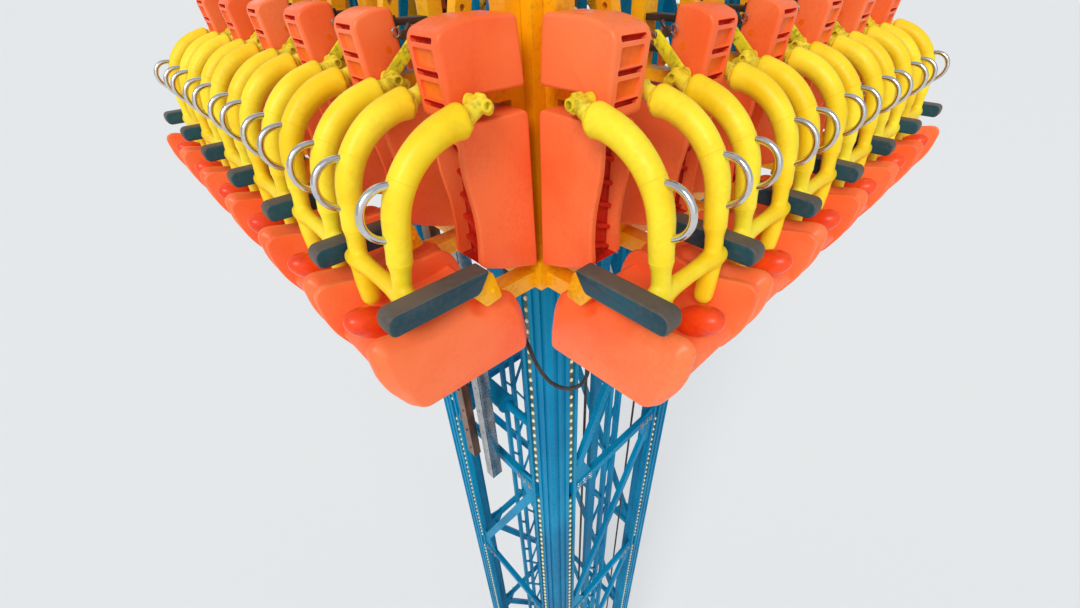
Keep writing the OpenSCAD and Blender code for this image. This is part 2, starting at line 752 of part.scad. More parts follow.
module restraint() {
    color(foam_yellow) union() {
        for (way = [0, 1]) mirror([way, 0, 0]) translate([leg_u, 0, 0]) {
            restraint_leg();
            translate([0, hinge_v, hinge_z]) restraint_hub();
            hand_hoop();
        }
        translate([0, hinge_v, hinge_z]) rod_u(shaft_d, 2 * leg_u);
        translate([0, lap_v, lap_z]) rotate([0, 90, 0]) rotate_extrude()
            polygon(domed(lap_d / 2, lap_half, lap_d / 2));
        lock_lever();
    }
}

module restraint_at(side, seat) {
    on_carriage() on_side(side) translate([seat_u(seat), 0, 0]) restraint();
}

base_frame();
columns();
on_side(0) lattice();  // lattice_front
on_side(1) lattice();  // lattice_left
on_side(2) lattice();  // lattice_back
on_side(3) lattice();  // lattice_right
lift_mast();
lift_ropes();
cable_ladder();
strut_tubes();
head_frame();
head_sheaves();
sheave_shafts();
ring_lower();
ring_upper();
corner_posts();
stanchions();
seat_arms();
lock_arms();
brake_fins();
guide_bars();
fin_hangers();
guide_wheels();
wheel_brackets();
head_brackets();
head_blocks();
seat_backs();
seat_pans(0);  // seat_pans_front
seat_pans(1);  // seat_pans_left
seat_pans(2);  // seat_pans_back
seat_pans(3);  // seat_pans_right
armrests();
armrest_brackets();
hose();
for (side = [0:3]) for (seat = [1:seats])
    restraint_at(side, seat);
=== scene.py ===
import bpy
import bmesh
from math import radians, pi, sin, cos
from mathutils import Matrix, Vector


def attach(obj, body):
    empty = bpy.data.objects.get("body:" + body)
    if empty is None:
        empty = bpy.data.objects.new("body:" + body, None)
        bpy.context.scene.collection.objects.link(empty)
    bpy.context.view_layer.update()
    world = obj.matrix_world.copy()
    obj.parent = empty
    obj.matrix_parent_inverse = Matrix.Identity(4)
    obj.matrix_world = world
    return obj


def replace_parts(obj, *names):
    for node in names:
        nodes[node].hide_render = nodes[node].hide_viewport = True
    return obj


# Dressed drop tower ride: shells, foam, bars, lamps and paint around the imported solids
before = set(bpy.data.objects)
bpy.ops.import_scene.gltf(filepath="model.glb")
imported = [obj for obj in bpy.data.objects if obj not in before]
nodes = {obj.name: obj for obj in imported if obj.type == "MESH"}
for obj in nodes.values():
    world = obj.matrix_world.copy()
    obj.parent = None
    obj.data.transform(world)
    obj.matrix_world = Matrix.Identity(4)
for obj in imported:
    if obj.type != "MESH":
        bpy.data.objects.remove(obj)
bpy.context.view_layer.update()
view = bpy.context.scene
view.view_settings.view_transform = "Standard"
print("frame loaded:", len(nodes), "nodes")

armZ = 24.4              # underside of the armrests over the ground
seatPitch = 0.5
seatsPerSide = 6
tiny = 0.0001            # lengths that differ by less count as equal
sideNames = ["front", "left", "back", "right"]
seatMiddles = [(i - (seatsPerSide - 1) / 2) * seatPitch for i in range(seatsPerSide)]
armMiddles = [(i - seatsPerSide / 2) * seatPitch for i in range(seatsPerSide + 1)]


def seatPoint(u, v, z):
    # row coordinates on the front side: u along the row, v away from the tower
    return Vector((u, -v, z))


def seatPlace(side, u=0.0, z=armZ):
    # from row coordinates to the world, for one side of the tower
    return Matrix.Rotation(-side * pi / 2, 4, "Z") @ Matrix.Translation((u, 0, z))


cameraSet = {"place": (-2.392, -2.531, 25.259), "yaw": 46.04, "pitch": 36.33, "roll": -0.85,
             "lens": 15.143, "sensor": 36, "shift": (-0.01602, -0.00769), "clip": (0.05, 6000)}


def addCamera():
    yaw, pitch, roll = (radians(cameraSet[k]) for k in ("yaw", "pitch", "roll"))
    ahead = Vector((cos(yaw) * cos(pitch), sin(yaw) * cos(pitch), -sin(pitch)))
    level = Vector((sin(yaw), -cos(yaw), 0))
    upright = level.cross(ahead)
    across = cos(roll) * level + sin(roll) * upright
    above = -sin(roll) * level + cos(roll) * upright
    data = bpy.data.cameras.new("camera")
    camera = bpy.data.objects.new("camera", data)
    view.collection.objects.link(camera)
    turn = Matrix((across, above, -ahead)).transposed().to_4x4()
    camera.matrix_world = Matrix.Translation(cameraSet["place"]) @ turn
    data.sensor_width = cameraSet["sensor"]
    data.lens = cameraSet["lens"]
    data.shift_x, data.shift_y = cameraSet["shift"]
    data.clip_start, data.clip_end = cameraSet["clip"]
    view.camera = camera


addCamera()


# Short ways to add shader nodes
def addNode(tree, kind, links=(), **values):
    node = tree.nodes.new(kind)
    for key, value in values.items():
        setattr(node, key, value)
    for socket, source in links:
        if hasattr(source, "links"):
            tree.links.new(source, node.inputs[socket])
        else:
            node.inputs[socket].default_value = source
    return node


def objectSpot(tree):
    return addNode(tree, "ShaderNodeTexCoord").outputs["Object"]


def doMath(tree, operation, first, second):
    return addNode(tree, "ShaderNodeMath", [(0, first), (1, second)], operation=operation).outputs[0]


def addNoise(tree, spot, scale, detail, roughness=0.5):
    return addNode(tree, "ShaderNodeTexNoise", [("Vector", spot), ("Scale", scale), ("Detail", detail),
                                                ("Roughness", roughness)]).outputs[0]


def softStep(tree, value, low, high):
    return addNode(tree, "ShaderNodeMapRange", [("Value", value), ("From Min", low), ("From Max", high)],
                   interpolation_type="SMOOTHSTEP").outputs[0]


def mixColors(tree, factor, first, second):
    # in colour mode the two colours are sockets 6 and 7, and the result is output 2
    mix = addNode(tree, "ShaderNodeMix", [(0, factor), (6, first), (7, second)], data_type="RGBA")
    return mix.outputs[2]


def useGroup(tree, group, **values):
    node = tree.nodes.new("ShaderNodeGroup")
    node.node_tree = group
    for key, value in values.items():
        if hasattr(value, "links"):
            tree.links.new(value, node.inputs[key])
        else:
            node.inputs[key].default_value = value
    return node


# Shader groups shared by the finishes
def newGroup(name, inputs, outputs):
    group = bpy.data.node_groups.new(name, "ShaderNodeTree")
    for label, kind, value in inputs:
        socket = group.interface.new_socket(label, in_out="INPUT", socket_type=kind)
        socket.default_value = value
    for label, kind in outputs:
        group.interface.new_socket(label, in_out="OUTPUT", socket_type=kind)
    return group, group.nodes.new("NodeGroupInput").outputs, group.nodes.new("NodeGroupOutput").inputs


def makeGrimeGroup():
    # soft blotches and long runs of dirt, as a colour and a mask
    group, entry, leave = newGroup("grimeOver", [
        ("Base", "NodeSocketColor", (0.5, 0.5, 0.5, 1)), ("Grime", "NodeSocketColor", (0.1, 0.08, 0.06, 1)),
        ("Amount", "NodeSocketFloat", 0.3), ("Scale", "NodeSocketFloat", 6.0),
        ("Streak", "NodeSocketFloat", 0.15)], [("Color", "NodeSocketColor"), ("Mask", "NodeSocketFloat")])
    spot = objectSpot(group)
    run = addNode(group, "ShaderNodeCombineXYZ", [(0, 1.0), (1, 1.0), (2, entry["Streak"])])
    drawn = addNode(group, "ShaderNodeVectorMath", [(0, spot), (1, run.outputs[0])], operation="MULTIPLY")
    blot = addNoise(group, drawn.outputs[0], entry["Scale"], detail=5.0, roughness=0.62)
    fine = addNoise(group, spot, 60.0, detail=2.0)
    mask = softStep(group, doMath(group, "MULTIPLY", blot, fine), 0.2, 0.42)
    level = doMath(group, "MULTIPLY", mask, entry["Amount"])
    group.links.new(mixColors(group, level, entry["Base"], entry["Grime"]), leave["Color"])
    group.links.new(level, leave["Mask"])
    return group


def makeDriftGroup():
    # slow drift between two shades of a moulded or painted skin
    group, entry, leave = newGroup("shadeDrift", [
        ("Light", "NodeSocketColor", (1, 1, 1, 1)), ("Dark", "NodeSocketColor", (0.5, 0.5, 0.5, 1)),
        ("Scale", "NodeSocketFloat", 2.0)], [("Color", "NodeSocketColor")])
    part = softStep(group, addNoise(group, objectSpot(group), entry["Scale"], detail=3.0), 0.35, 0.65)
    group.links.new(mixColors(group, part, entry["Light"], entry["Dark"]), leave["Color"])
    return group


def makeGrainGroup():
    # height of a fine moulded grain with a few longer scuffs
    group, entry, leave = newGroup("skinGrain", [
        ("Grain", "NodeSocketFloat", 300.0), ("Scuffs", "NodeSocketFloat", 0.4)],
        [("Height", "NodeSocketFloat")])
    spot = objectSpot(group)
    fine = addNoise(group, spot, entry["Grain"], detail=2.0)
    squash = addNode(group, "ShaderNodeMapping", [("Vector", spot), ("Scale", (1.0, 1.0, 7.0))])
    scuff = softStep(group, addNoise(group, squash.outputs[0], 14.0, detail=6.0, roughness=0.7), 0.58, 0.66)
    total = doMath(group, "SUBTRACT", fine, doMath(group, "MULTIPLY", scuff, entry["Scuffs"]))
    group.links.new(total, leave["Height"])
    return group


grimeOver, shadeDrift, skinGrain = makeGrimeGroup(), makeDriftGroup(), makeGrainGroup()

# A finish has two shades and their drift, dirt with blotches and runs, a roughness range, grain and bump
plainLook = {"run": 1.0, "scuffs": 0.6, "coat": 0.0, "coatRough": 0.25, "metal": 0.0, "shine": 0.25}
finishes = {
    "coralShell": {"light": (1.0, 0.205, 0.062), "dark": (0.97, 0.135, 0.030), "drift": 2.3,
                   "grime": (0.62, 0.07, 0.02), "dirt": 0.14, "blotch": 5.0, "run": 0.5, "coat": 0.10,
                   "rough": (0.36, 0.52), "grain": 220.0, "scuffs": 0.5, "bump": (0.10, 0.0006)},
    "coralPanel": {"light": (0.93, 0.17, 0.006), "dark": (0.82, 0.10, 0.003), "drift": 7.0,
                   "grime": (0.45, 0.04, 0.01), "dirt": 0.12, "blotch": 9.0, "run": 0.4,
                   "rough": (0.40, 0.55), "grain": 180.0, "scuffs": 0.5, "bump": (0.12, 0.0006)},
    # painted shade: a dark red that stands in for the shade inside the head slots and the seat back pockets
    "coralRecessShade": {"light": (0.72, 0.030, 0.008), "dark": (0.50, 0.012, 0.004), "drift": 6.0,
                  "grime": (0.12, 0.01, 0.01), "dirt": 0.35, "blotch": 8.0, "run": 0.5,
                  "rough": (0.42, 0.6), "grain": 200.0, "scuffs": 0.3, "bump": (0.10, 0.0006)},
    "pommelRed": {"light": (0.93, 0.072, 0.008), "dark": (0.80, 0.042, 0.005), "drift": 8.0,
                  "grime": (0.3, 0.03, 0.01), "dirt": 0.2, "blotch": 9.0, "coat": 0.15,
                  "rough": (0.3, 0.45), "grain": 220.0, "scuffs": 0.3, "bump": (0.10, 0.0005)},
    "yellowFoam": {"light": (0.96, 0.76, 0.028), "dark": (0.93, 0.62, 0.008), "drift": 4.0,
                   "grime": (0.42, 0.27, 0.03), "dirt": 0.12, "blotch": 8.0, "run": 0.6,
                   "rough": (0.36, 0.52), "grain": 260.0, "scuffs": 0.4, "bump": (0.16, 0.0008)},
    "yellowCast": {"light": (0.93, 0.76, 0.05), "dark": (0.80, 0.60, 0.02), "drift": 9.0,
                   "grime": (0.12, 0.08, 0.02), "dirt": 0.45, "blotch": 14.0, "run": 0.8, "coat": 0.1,
                   "rough": (0.32, 0.55), "grain": 120.0, "bump": (0.25, 0.0009)},
    "leverYellow": {"light": (0.88, 0.78, 0.02), "dark": (0.66, 0.55, 0.02), "drift": 12.0,
                    "grime": (0.12, 0.09, 0.03), "dirt": 0.75, "blotch": 18.0, "run": 0.7,
                    "rough": (0.38, 0.6), "grain": 90.0, "scuffs": 0.7, "bump": (0.25, 0.001)},
    "armFoam": {"light": (0.125, 0.098, 0.075), "dark": (0.080, 0.066, 0.054), "drift": 5.0,
                "grime": (0.16, 0.13, 0.11), "dirt": 0.35, "blotch": 10.0,
                "rough": (0.52, 0.7), "grain": 240.0, "scuffs": 0.9, "bump": (0.28, 0.0012)},
    # painted reflection: the blue of the sky on the armrest sides
    "armSkyReflection": {"light": (0.012, 0.080, 0.110), "dark": (0.012, 0.050, 0.070), "drift": 4.0,
                "grime": (0.10, 0.09, 0.09), "dirt": 0.3, "blotch": 12.0,
                "rough": (0.40, 0.6), "grain": 240.0, "scuffs": 0.9, "bump": (0.28, 0.0012)},
    "amberPaint": {"light": (0.98, 0.50, 0.004), "dark": (0.90, 0.33, 0.002), "drift": 2.0,
                   "grime": (0.30, 0.10, 0.01), "dirt": 0.30, "blotch": 5.0, "run": 0.12, "coat": 0.15,
                   "rough": (0.30, 0.5), "grain": 60.0, "bump": (0.10, 0.0008)},
    "towerPaint": {"light": (0.001, 0.28, 0.50), "dark": (0.0, 0.18, 0.36), "drift": 0.8, "shine": 0.08,
                   "grime": (0.004, 0.05, 0.10), "dirt": 0.30, "blotch": 3.0, "run": 0.06,
                   "rough": (0.40, 0.60), "grain": 70.0, "scuffs": 0.5, "bump": (0.10, 0.0008)},
    "darkSteel": {"light": (0.075, 0.058, 0.05), "dark": (0.03, 0.024, 0.022), "drift": 6.0,
                  "grime": (0.16, 0.07, 0.03), "dirt": 0.5, "blotch": 8.0, "run": 0.2, "metal": 0.6,
                  "shine": 0.5, "rough": (0.42, 0.65), "grain": 120.0, "bump": (0.25, 0.001)},
    "bareSteel": {"light": (0.50, 0.51, 0.53), "dark": (0.34, 0.34, 0.35), "drift": 6.0,
                  "grime": (0.20, 0.12, 0.07), "dirt": 0.35, "blotch": 8.0, "run": 0.15, "metal": 1.0,
                  "shine": 0.5, "rough": (0.26, 0.45), "grain": 90.0, "bump": (0.12, 0.0006)},
    "polishedSteel": {"light": (0.74, 0.73, 0.72), "dark": (0.62, 0.61, 0.60), "drift": 12.0,
                      "grime": (0.35, 0.30, 0.26), "dirt": 0.25, "blotch": 20.0, "metal": 1.0,
                      "rough": (0.14, 0.28), "grain": 160.0, "scuffs": 0.5, "bump": (0.06, 0.0004),
                      "shine": 0.5},
    "copperFin": {"light": (0.30, 0.125, 0.06), "dark": (0.16, 0.065, 0.035), "drift": 3.0,
                  "grime": (0.06, 0.04, 0.03), "dirt": 0.5, "blotch": 5.0, "run": 0.08, "metal": 0.8,
                  "shine": 0.5, "rough": (0.30, 0.5), "grain": 90.0, "bump": (0.12, 0.0008)},
    "blackRubber": {"light": (0.035, 0.035, 0.038), "dark": (0.016, 0.016, 0.018), "drift": 9.0,
                    "grime": (0.12, 0.10, 0.09), "dirt": 0.35, "blotch": 12.0,
                    "rough": (0.45, 0.65), "grain": 160.0, "bump": (0.2, 0.0008)},
    "channelGrey": {"light": (0.14, 0.20, 0.16), "dark": (0.04, 0.09, 0.09), "drift": 1.4,
                    "grime": (0.02, 0.03, 0.03), "dirt": 0.5, "blotch": 4.0, "run": 0.1,
                    "rough": (0.45, 0.6), "grain": 90.0, "scuffs": 0.4, "bump": (0.1, 0.0006)},
    "lampCream": {"light": (0.95, 0.86, 0.55), "dark": (0.90, 0.76, 0.38), "drift": 20.0,
                  "grime": (0.35, 0.28, 0.14), "dirt": 0.3, "blotch": 30.0, "coat": 0.3,
                  "rough": (0.16, 0.3), "grain": 100.0, "scuffs": 0.2, "bump": (0.05, 0.0004)}}


def makeFinish(name):
    look = {**plainLook, **finishes[name]}
    made = bpy.data.materials.new(name)
    made.use_nodes = True
    tree = made.node_tree
    shader = tree.nodes["Principled BSDF"]
    drift = useGroup(tree, shadeDrift, Light=(*look["light"], 1), Dark=(*look["dark"], 1),
                     Scale=look["drift"])
    dirt = useGroup(tree, grimeOver, Base=drift.outputs[0], Grime=(*look["grime"], 1), Amount=look["dirt"],
                    Scale=look["blotch"], Streak=look["run"])
    tree.links.new(dirt.outputs["Color"], shader.inputs["Base Color"])
    rough = addNode(tree, "ShaderNodeMapRange", [
        ("Value", dirt.outputs["Mask"]), ("From Min", 0.0), ("From Max", look["dirt"]),
        ("To Min", look["rough"][0]), ("To Max", look["rough"][1])])
    tree.links.new(rough.outputs[0], shader.inputs["Roughness"])
    grain = useGroup(tree, skinGrain, Grain=look["grain"], Scuffs=look["scuffs"])
    bump = addNode(tree, "ShaderNodeBump", [("Strength", look["bump"][0]), ("Distance", look["bump"][1]),
                                            ("Height", grain.outputs[0])])
    tree.links.new(bump.outputs[0], shader.inputs["Normal"])
    for socket, key in (("Metallic", "metal"), ("Coat Weight", "coat"), ("Coat Roughness", "coatRough"),
                        ("Specular IOR Level", "shine")):
        shader.inputs[socket].default_value = look[key]
    return made


material = {name: makeFinish(name) for name in finishes}
print("finishes made:", len(material))


# Mesh helpers
def finishPiece(name, bm, finish, body, smooth=38):
    # turns a bmesh into a piece that rides on a body; finish is a name or a list of names
    bmesh.ops.recalc_face_normals(bm, faces=bm.faces)
    mesh = bpy.data.meshes.new(name)
    bm.to_mesh(mesh)
    bm.free()
    for label in ([finish] if isinstance(finish, str) else finish):
        mesh.materials.append(material[label])
    for face in mesh.polygons:
        face.use_smooth = True
    mesh.set_sharp_from_angle(angle=radians(smooth))
    piece = bpy.data.objects.new(name, mesh)
    view.collection.objects.link(piece)
    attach(piece, body)
    return piece


def addCopies(target, source, places):
    # adds the source bmesh to the target once for each place
    mesh = bpy.data.meshes.new("copy")
    source.to_mesh(mesh)
    for place in places:
        turned = mesh.copy()
        turned.transform(place)
        target.from_mesh(turned)
        bpy.data.meshes.remove(turned)
    bpy.data.meshes.remove(mesh)


def joinBms(*parts):
    whole = bmesh.new()
    for part in parts:
        addCopies(whole, part, [Matrix()])
        part.free()
    return whole


def spreadBm(part, places):
    # a new bmesh with a copy of the part at each place; the part is used up
    whole = bmesh.new()
    addCopies(whole, part, places)
    part.free()
    return whole


def outlineFace(bm, corners, u, steps=5):
    # face in the v-z plane at u, its corners (v, z, tangent length) rounded by vertex bevels
    made = [bm.verts.new(seatPoint(u, v, z)) for v, z, _ in corners]
    bm.faces.new(made)
    for vert, (_, _, reach) in zip(made, corners):
        bmesh.ops.bevel(bm, geom=[vert], offset=reach, offset_type="OFFSET", affect="VERTICES",
                        segments=steps, profile=0.5, material=-1, clamp_overlap=False)


def softenRims(bm, edge, steps):
    # rounds the edges that lie in a plane across u
    rims = [e for e in bm.edges if abs(e.verts[0].co.x - e.verts[1].co.x) < tiny]
    bmesh.ops.bevel(bm, geom=rims, offset=edge, offset_type="OFFSET", affect="EDGES", segments=steps,
                    profile=0.5, material=-1, clamp_overlap=False)


def roundedSlab(corners, low, high, edge, steps=4):
    # solid between two u values with rounded rims
    bm = bmesh.new()
    outlineFace(bm, corners, low)
    moved = bmesh.ops.extrude_face_region(bm, geom=bm.faces[:])["geom"]
    far = [g for g in moved if isinstance(g, bmesh.types.BMVert)]
    bmesh.ops.translate(bm, vec=(high - low, 0, 0), verts=far)
    bmesh.ops.recalc_face_normals(bm, faces=bm.faces)
    if edge > 0:
        softenRims(bm, edge, steps)
    return bm


def boxBm(low, high, edge=0.0, steps=2):
    # box between two corners of seat coordinates, with bevelled edges
    bm = bmesh.new()
    a, b = seatPoint(*low), seatPoint(*high)
    size = [abs(b[k] - a[k]) for k in range(3)]
    place = Matrix.Translation((a + b) / 2) @ Matrix.Diagonal((*size, 1))
    bmesh.ops.create_cube(bm, size=1.0, matrix=place)
    if edge > 0:
        bmesh.ops.bevel(bm, geom=bm.edges[:], offset=edge, affect="EDGES", segments=steps, profile=0.5,
                        material=-1)
    return bm


def rodBm(start, end, radius, sides=16, edge=0.0, endRadius=None):
    # round rod between two points, its rims bevelled
    bm = bmesh.new()
    axis = end - start
    turn = axis.to_track_quat("Z", "Y").to_matrix().to_4x4()
    bmesh.ops.create_cone(bm, cap_ends=True, segments=sides, radius1=radius, radius2=endRadius or radius,
                          depth=axis.length, matrix=Matrix.Translation((start + end) / 2) @ turn)
    if edge > 0:
        rims = [e for e in bm.edges if any(len(f.verts) > 4 for f in e.link_faces)]
        bmesh.ops.bevel(bm, geom=rims, offset=edge, affect="EDGES", segments=2, profile=0.5, material=-1)
    return bm


def ballBm(place, sides, rings, radius=1.0):
    bm = bmesh.new()
    bmesh.ops.create_uvsphere(bm, u_segments=sides, v_segments=rings, radius=radius, matrix=place)
    return bm


def sweepBm(points, radii, sides=12, closed=False):
    # tube along points: a ring stands across the path at each point, and neighbouring rings are bridged
    bm = bmesh.new()
    last = len(points) - 1
    rings = []
    for i, (here, radius) in enumerate(zip(points, radii)):
        before = points[i - 1] if closed or i > 0 else here
        after = points[(i + 1) % len(points)] if closed or i < last else here
        turn = (after - before).to_track_quat("Z", "Y").to_matrix().to_4x4()
        known = len(bm.edges)
        bmesh.ops.create_circle(bm, cap_ends=False, segments=sides, radius=radius,
                                matrix=Matrix.Translation(here) @ turn)
        rings.append(bm.edges[:][known:])
    for first, second in zip(rings, rings[1:] + (rings[:1] if closed else [])):
        bmesh.ops.bridge_loops(bm, edges=first + second)
    bmesh.ops.holes_fill(bm, edges=[e for e in bm.edges if e.is_boundary], sides=0)
    bmesh.ops.recalc_face_normals(bm, faces=bm.faces)
    return bm


def tubeBm(points, radius, sides=12, closed=False):
    return sweepBm(points, [radius] * len(points), sides, closed)


def bakeModifiers(objects):
    # mesh of the first object with its modifiers applied; all the objects are used up
    bpy.context.view_layer.update()
    done = objects[0].evaluated_get(bpy.context.evaluated_depsgraph_get()).to_mesh()
    result = bmesh.new()
    result.from_mesh(done)
    for obj in objects:
        mesh = obj.data
        bpy.data.objects.remove(obj)
        bpy.data.meshes.remove(mesh)
    return result


def scratchObject(name, bm):
    mesh = bpy.data.meshes.new(name)
    bm.to_mesh(mesh)
    bm.free()
    obj = bpy.data.objects.new(name, mesh)
    view.collection.objects.link(obj)
    return obj


def cutBm(body, cutters):
    # takes the cutters out of the body
    objects = []
    for name, bm in (("body", body), ("cutter", joinBms(*cutters))):
        bmesh.ops.recalc_face_normals(bm, faces=bm.faces)
        objects.append(scratchObject(name, bm))
    cut = objects[0].modifiers.new("cut", "BOOLEAN")
    cut.operation, cut.object, cut.solver, cut.use_self = "DIFFERENCE", objects[1], "EXACT", True
    return bakeModifiers(objects)


def meltBm(body, voxel, rounds, relax=0.5):
    # melts overlapping forms into one skin
    obj = scratchObject("melt", body)
    melt = obj.modifiers.new("melt", "REMESH")
    melt.mode, melt.voxel_size, melt.use_smooth_shade = "VOXEL", voxel, True
    calm = obj.modifiers.new("calm", "SMOOTH")
    calm.factor, calm.iterations = relax, rounds
    return bakeModifiers([obj])


def setFinish(bm, index, test):
    # gives a finish of the piece's list to the faces whose middle and normal pass the test
    for face in bm.faces:
        if test(face.calc_center_median(), face.normal):
            face.material_index = index


def paintAll(bm, index):
    for face in bm.faces:
        face.material_index = index
    return bm


def turnBm(bm, centre, angle, axis):
    bmesh.ops.rotate(bm, verts=bm.verts[:], cent=centre, matrix=Matrix.Rotation(angle, 3, axis))
    return bm


allSeats = [seatPlace(side, u) for side in range(4) for u in seatMiddles]
endSeats = [seatPlace(side, u) for side in range(4) for u in (seatMiddles[0], seatMiddles[-1])]
innerSeats = [seatPlace(side, u) for side in range(4) for u in seatMiddles[1:-1]]
armSpots = [seatPlace(side, u) for side in range(4) for u in armMiddles]

# The hose that hangs under the near corner, in metres from the armrests' underside
hosePoints = [(-1.286, -1.020, -0.2905), (-1.286, -1.020, -0.320), (-1.294, -1.038, -0.390),
              (-1.318, -1.110, -0.480), (-1.344, -1.190, -0.590), (-1.350, -1.250, -0.672),
              (-1.333, -1.267, -0.763), (-1.307, -1.293, -0.851), (-1.276, -1.324, -0.917),
              (-1.235, -1.365, -0.955), (-1.201, -1.399, -0.956), (-1.169, -1.431, -0.926),
              (-1.140, -1.446, -0.860), (-1.110, -1.430, -0.770), (-1.080, -1.390, -0.660),
              (-1.050, -1.340, -0.540), (-1.028, -1.296, -0.400), (-1.020, -1.286, -0.320),
              (-1.020, -1.286, -0.2905)]
hoseSet = {"diameter": 0.022, "sides": 14, "fine": 5}


def smoothPath(points, parts):
    # curve through the points with the given number of parts between each two
    made = []
    for i in range(len(points) - 1):
        p0, p1 = points[max(i - 1, 0)], points[i]
        p2, p3 = points[i + 1], points[min(i + 2, len(points) - 1)]
        for k in range(parts):
            t = k / parts
            made.append(0.5 * (2 * p1 + (p2 - p0) * t + (2 * p0 - 5 * p1 + 4 * p2 - p3) * t * t
                               + (3 * p1 - p0 - 3 * p2 + p3) * t ** 3))
    return made + [points[-1]]


def addHose():
    line = smoothPath([Vector((x, y, armZ + z)) for x, y, z in hosePoints], hoseSet["fine"])
    bm = tubeBm(line, hoseSet["diameter"] / 2, hoseSet["sides"])
    piece = finishPiece("hangingHose", bm, "blackRubber", "carriage", 60)
    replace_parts(piece, "hose")


addHose()

# Head blocks: a deep one at the row ends, a shallow one between, with three slots and sunk panels
headSet = {"half": 0.083, "edge": 0.012, "front": 1.663, "lean": 0.080, "cutEdge": 0.006,
           "slots": (0.690, 0.604, 0.518), "slotHalf": 0.056, "slotHeight": 0.0075, "slotDepth": 0.024,
           "slotPast": 1.70, "slotTurn": -24, "slotDeep": (0.006, 0.035), "slotNear": 0.019,
           "panelHalf": 0.052, "panelDepth": 0.006, "panelPast": 1.72, "panelDeep": (0.002, 0.012),
           "underSlot": 0.020, "overSlot": 0.014, "facing": -0.8,
           "dents": ((-0.030, 1.500, 0.030), (0.035, 1.420, 0.045)), "dentZ": 0.7455,
           "dentSize": (0.012, 0.008),
           "bolt": (0.012, 0.015), "boltV": (1.640, 1.659), "boltRadius": 0.0045,
           "plugU": (0.080, 0.0836), "plug": (1.560, 0.616), "plugRadius": 0.0125,
           "deep": [(1.362, 0.538, 0.016), (1.566, 0.540, 0.020), (1.572, 0.471, 0.020),
                    (1.650, 0.471, 0.022), (1.669, 0.710, 0.030), (1.570, 0.742, 0.045),
                    (1.382, 0.741, 0.020)],
           "shallow": [(1.502, 0.538, 0.018), (1.566, 0.540, 0.020), (1.572, 0.471, 0.020),
                       (1.650, 0.471, 0.022), (1.669, 0.710, 0.030), (1.590, 0.742, 0.032),
                       (1.516, 0.741, 0.020)]}
bracketSet = {"edge": 0.003, "padShift": 0.05, "pad": ((-0.030, 1.351, 0.580), (0.030, 1.366, 0.702)),
              "plates": [((-0.030, 1.352, 0.580), (0.030, 1.500, 0.602)),
                         ((-0.030, 1.352, 0.680), (0.030, 1.500, 0.702)),
                         ((-0.050, 1.492, 0.560), (0.050, 1.506, 0.715))]}


def headFaceAt(z):
    # the face leans outwards by a fixed share of the height
    return headSet["front"] + (z - headSet["slots"][0]) * headSet["lean"]


def headSlot(z):
    half, high = headSet["slotHalf"], headSet["slotHeight"]
    slot = boxBm((-half, headFaceAt(z) - headSet["slotDepth"], z - high),
                 (half, headSet["slotPast"], z + high), headSet["cutEdge"], 3)
    return turnBm(slot, seatPoint(0, headFaceAt(z), z), radians(headSet["slotTurn"]), "X")


def headPanel(above, below):
    # cutter of the panel between two slots
    half, top = headSet["panelHalf"], above - headSet["underSlot"]
    panel = boxBm((-half, headFaceAt(top) - headSet["panelDepth"], below + headSet["overSlot"]),
                  (half, headSet["panelPast"], top), headSet["cutEdge"])
    return turnBm(panel, seatPoint(0, headFaceAt(top), top), headSet["lean"], "X")


def headDent(u, v, wide):
    wideU, wideZ = headSet["dentSize"]
    place = Matrix.Translation(seatPoint(u, v, headSet["dentZ"]))
    return ballBm(place @ Matrix.Diagonal((wideU, wide, wideZ, 1)), 16, 8)


def headBlock(outline, plugs):
    slots = headSet["slots"]
    cutters = [headSlot(z) for z in slots] + [headPanel(*pair) for pair in zip(slots, slots[1:])]
    cutters += [headDent(*dent) for dent in headSet["dents"]]
    body = roundedSlab(outline, -headSet["half"], headSet["half"], headSet["edge"])
    bm = cutBm(body, cutters)

    def sunk(spot, half, span):
        return abs(spot.x) < half and span[0] < headFaceAt(spot.z) + spot.y < span[1]

    setFinish(bm, 1, lambda c, n: sunk(c, headSet["panelHalf"], headSet["panelDeep"])
              and n.y < headSet["facing"] and c.z < slots[0] - headSet["underSlot"])
    # slot faces get the dark red of painted shade, where the slot's upper lip shades them
    setFinish(bm, 2, lambda c, n: sunk(c, headSet["slotHalf"], headSet["slotDeep"])
              and any(abs(c.z - z) < headSet["slotNear"] for z in slots))
    u, down = headSet["bolt"]
    inner, outer = (seatPoint(u, v, slots[1] - down) for v in headSet["boltV"])
    parts = [bm, paintAll(rodBm(inner, outer, headSet["boltRadius"], 8, 0.001), 3)]
    for way in plugs:
        inner, outer = (seatPoint(way * u, *headSet["plug"]) for u in headSet["plugU"])
        parts.append(paintAll(rodBm(inner, outer, headSet["plugRadius"], 20), 1))
    return joinBms(*parts)


def addHeads():
    whole = joinBms(spreadBm(headBlock(headSet["deep"], ()), endSeats),
                    spreadBm(headBlock(headSet["shallow"], (-1, 1)), innerSeats))
    piece = finishPiece("headShells", whole, ["coralShell", "coralPanel", "coralRecessShade", "bareSteel"],
                        "carriage", 32)
    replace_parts(piece, "head_blocks")
    bracket = joinBms(*[boxBm(low, high, bracketSet["edge"]) for low, high in bracketSet["plates"]])
    pad = boxBm(*bracketSet["pad"], bracketSet["edge"])
    padSpots = [seatPlace(side, end * (seatMiddles[-1] - bracketSet["padShift"])) for side in range(4)
                for end in (-1, 1)]
    arm = joinBms(spreadBm(bracket, innerSeats), spreadBm(pad, padSpots))
    piece = finishPiece("headBrackets", arm, "darkSteel", "carriage", 32)
    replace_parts(piece, "head_brackets")
    print("head shells made")


addHeads()
